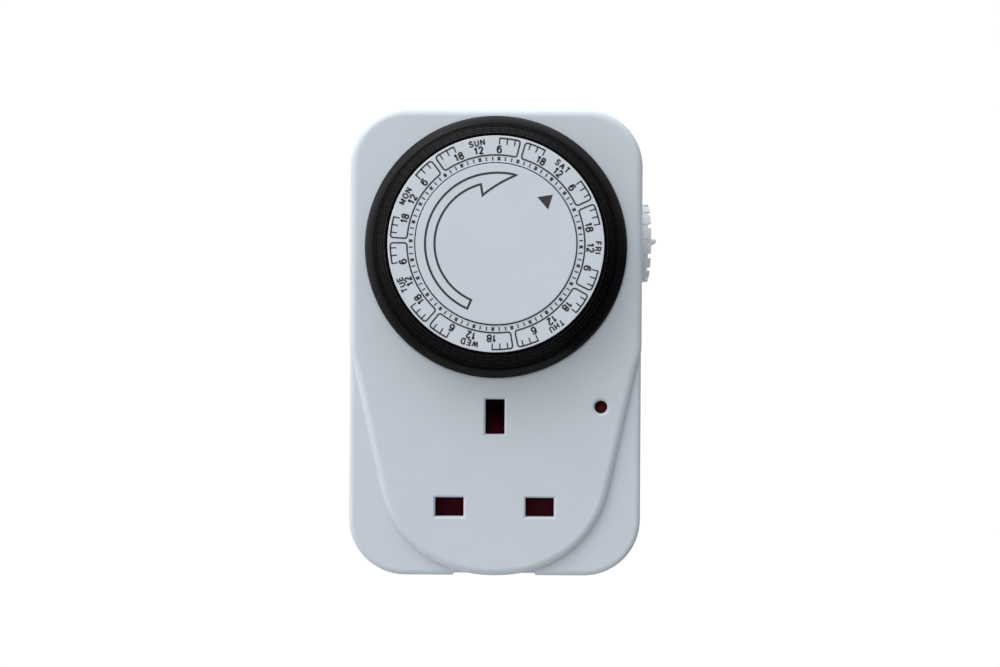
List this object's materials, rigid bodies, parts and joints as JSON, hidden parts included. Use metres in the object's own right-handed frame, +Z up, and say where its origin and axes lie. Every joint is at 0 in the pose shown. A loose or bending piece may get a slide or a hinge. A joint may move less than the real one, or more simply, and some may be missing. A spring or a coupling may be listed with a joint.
{
  "type": "programmable timer",
  "caption": "Plug-in seven-day timer with a segment dial of push tappets, a socket with a shutter, a side override knob and plug pins at the rear.",
  "frame": {"origin": "middle of the flat rear face, which rests on the wall socket", "axes": "+Z up, -Y towards the user, +Y into the wall socket, +X to the right as the user sees it"},
  "size_m": [0.0766, 0.0736, 0.1152],
  "materials": {
    "white_plastic": "satin moulded",
    "knob_plastic": "satin moulded",
    "dial_black": "gloss moulded",
    "tappet_black": "satin moulded",
    "black_plastic": "satin moulded",
    "ivory_plastic": "satin moulded",
    "gear_white": "acetal",
    "red_plastic": "satin moulded",
    "red_lens": "clear tinted",
    "lamp_glass": "clear",
    "brass": "drawn",
    "copper_strip": "rolled copper strip",
    "zinc_steel": "zinc plated",
    "brown_insulation": "extruded",
    "blue_insulation": "extruded"
  },
  "bodies": {
    "case": {"carrier_base": "black_plastic", "centre_disc": "white_plastic", "contact_carrier": "black_plastic", "earth_contact": "brass", "earth_pin": "brass", "front_cover": "white_plastic", "housing_screw_1": "zinc_steel", "housing_screw_2": "zinc_steel", "housing_screw_3": "zinc_steel", "housing_screw_4": "zinc_steel", "lever_pin": "zinc_steel", "line_contact": "brass", "line_pin": "brass", "line_pin_sleeve": "black_plastic", "line_strap": "copper_strip", "microswitch_body": "black_plastic", "motor_can": "zinc_steel", "motor_front_plate": "brass", "motor_lead_line": "brown_insulation", "motor_lead_neutral": "blue_insulation", "movement_plate": "zinc_steel", "neon_lamp": "lamp_glass", "neon_lens": "red_lens", "neon_resistor": "ivory_plastic", "neutral_contact": "brass", "neutral_pin": "brass", "neutral_pin_sleeve": "black_plastic", "neutral_strap": "brass", "rear_housing": "white_plastic", "switched_strap": "copper_strip"},
    "dial": {"dial_carrier": "dial_black", "dial_gear": "black_plastic", "dial_scale": "white_plastic"},
    "tappet_sat_01_body": {"tappet_sat_01": "tappet_black"},
    "tappet_sat_02_body": {"tappet_sat_02": "tappet_black"},
    "tappet_sat_03_body": {"tappet_sat_03": "tappet_black"},
    "tappet_sat_04_body": {"tappet_sat_04": "tappet_black"},
    "tappet_sat_05_body": {"tappet_sat_05": "tappet_black"},
    "tappet_sat_06_body": {"tappet_sat_06": "tappet_black"},
    "tappet_sat_07_body": {"tappet_sat_07": "tappet_black"},
    "tappet_sat_08_body": {"tappet_sat_08": "tappet_black"},
    "tappet_sat_09_body": {"tappet_sat_09": "tappet_black"},
    "tappet_sat_10_body": {"tappet_sat_10": "tappet_black"},
    "tappet_sat_11_body": {"tappet_sat_11": "tappet_black"},
    "tappet_sat_12_body": {"tappet_sat_12": "tappet_black"},
    "tappets_fri_body": {"tappets_fri": "tappet_black"},
    "tappets_mon_body": {"tappets_mon": "tappet_black"},
    "tappets_sun_body": {"tappets_sun": "tappet_black"},
    "tappets_thu_body": {"tappets_thu": "tappet_black"},
    "tappets_tue_body": {"tappets_tue": "tappet_black"},
    "tappets_wed_body": {"tappets_wed": "tappet_black"},
    "second_wheel": {"gear_wheel_2": "gear_white"},
    "first_wheel": {"gear_wheel_1": "gear_white"},
    "motor_rotor": {"motor_pinion": "brass"},
    "override": {"override_knob": "knob_plastic", "override_cam": "black_plastic"},
    "lever": {"switch_lever": "ivory_plastic"},
    "plunger": {"microswitch_plunger": "ivory_plastic"},
    "socket_shutter": {"shutter": "red_plastic", "shutter_spring": "zinc_steel"}
  },
  "joints": [
    {"name": "dial_turn", "type": "hinge", "parent": "case", "child": "dial", "pos_m": [0, -0.044, 0.0235], "axis": [0, 1, 0], "continuous": true},
    {"name": "sat_01_slide", "type": "slide", "parent": "dial", "child": "tappet_sat_01_body", "axis": [0, 1, 0], "range_m": [0, 0.0028]},
    {"name": "sat_02_slide", "type": "slide", "parent": "dial", "child": "tappet_sat_02_body", "axis": [0, 1, 0], "range_m": [0, 0.0028]},
    {"name": "sat_03_slide", "type": "slide", "parent": "dial", "child": "tappet_sat_03_body", "axis": [0, 1, 0], "range_m": [0, 0.0028]},
    {"name": "sat_04_slide", "type": "slide", "parent": "dial", "child": "tappet_sat_04_body", "axis": [0, 1, 0], "range_m": [0, 0.0028]},
    {"name": "sat_05_slide", "type": "slide", "parent": "dial", "child": "tappet_sat_05_body", "axis": [0, 1, 0], "range_m": [0, 0.0028]},
    {"name": "sat_06_slide", "type": "slide", "parent": "dial", "child": "tappet_sat_06_body", "axis": [0, 1, 0], "range_m": [0, 0.0028]},
    {"name": "sat_07_slide", "type": "slide", "parent": "dial", "child": "tappet_sat_07_body", "axis": [0, 1, 0], "range_m": [0, 0.0028]},
    {"name": "sat_08_slide", "type": "slide", "parent": "dial", "child": "tappet_sat_08_body", "axis": [0, 1, 0], "range_m": [0, 0.0028]},
    {"name": "sat_09_slide", "type": "slide", "parent": "dial", "child": "tappet_sat_09_body", "axis": [0, 1, 0], "range_m": [0, 0.0028]},
    {"name": "sat_10_slide", "type": "slide", "parent": "dial", "child": "tappet_sat_10_body", "axis": [0, 1, 0], "range_m": [0, 0.0028]},
    {"name": "sat_11_slide", "type": "slide", "parent": "dial", "child": "tappet_sat_11_body", "axis": [0, 1, 0], "range_m": [0, 0.0028]},
    {"name": "sat_12_slide", "type": "slide", "parent": "dial", "child": "tappet_sat_12_body", "axis": [0, 1, 0], "range_m": [0, 0.0028]},
    {"name": "fri_slide", "type": "slide", "parent": "dial", "child": "tappets_fri_body", "axis": [0, 1, 0], "range_m": [0, 0.0028]},
    {"name": "mon_slide", "type": "slide", "parent": "dial", "child": "tappets_mon_body", "axis": [0, 1, 0], "range_m": [0, 0.0028]},
    {"name": "sun_slide", "type": "slide", "parent": "dial", "child": "tappets_sun_body", "axis": [0, 1, 0], "range_m": [0, 0.0028]},
    {"name": "thu_slide", "type": "slide", "parent": "dial", "child": "tappets_thu_body", "axis": [0, 1, 0], "range_m": [0, 0.0028]},
    {"name": "tue_slide", "type": "slide", "parent": "dial", "child": "tappets_tue_body", "axis": [0, 1, 0], "range_m": [0, 0.0028]},
    {"name": "wed_slide", "type": "slide", "parent": "dial", "child": "tappets_wed_body", "axis": [0, 1, 0], "range_m": [0, 0.0028]},
    {"name": "second_wheel_turn", "type": "hinge", "parent": "case", "child": "second_wheel", "pos_m": [-0.01184, -0.038, 0.01166], "axis": [0, 1, 0], "continuous": true},
    {"name": "first_wheel_turn", "type": "hinge", "parent": "case", "child": "first_wheel", "pos_m": [-0.01296, -0.0345, 0.02446], "axis": [0, 1, 0], "continuous": true},
    {"name": "motor_rotor_turn", "type": "hinge", "parent": "case", "child": "motor_rotor", "pos_m": [-0.00573, -0.034, 0.03307], "axis": [0, 1, 0], "continuous": true},
    {"name": "override_turn", "type": "hinge", "parent": "case", "child": "override", "pos_m": [0.0366, -0.019, 0.0259], "axis": [1, 0, 0], "range_deg": [0, 90]},
    {"name": "lever_tilt", "type": "hinge", "parent": "case", "child": "lever", "pos_m": [0.024, -0.031, 0.031], "axis": [-1, 0, 0], "range_deg": [0, 11]},
    {"name": "plunger_slide", "type": "slide", "parent": "case", "child": "plunger", "axis": [0, 1, 0], "range_m": [0, 0.0016]},
    {"name": "shutter_slide", "type": "slide", "parent": "case", "child": "socket_shutter", "axis": [0, 0, -1], "range_m": [0, 0.0052], "stiffness_N_per_m": 120, "springref_m": -0.004, "deforming": ["shutter_spring"]}
  ],
  "couplings": [
    {"joint": "second_wheel_turn", "follows": "dial_turn", "ratio": 6.25},
    {"joint": "first_wheel_turn", "follows": "dial_turn", "ratio": -18.75},
    {"joint": "motor_rotor_turn", "follows": "dial_turn", "ratio": 46.875},
    {"joint": "lever_tilt", "follows": "override_turn", "ratio": 0.12222},
    {"joint": "plunger_slide", "follows": "override_turn", "m_per_rad": 0.00097178}
  ]
}
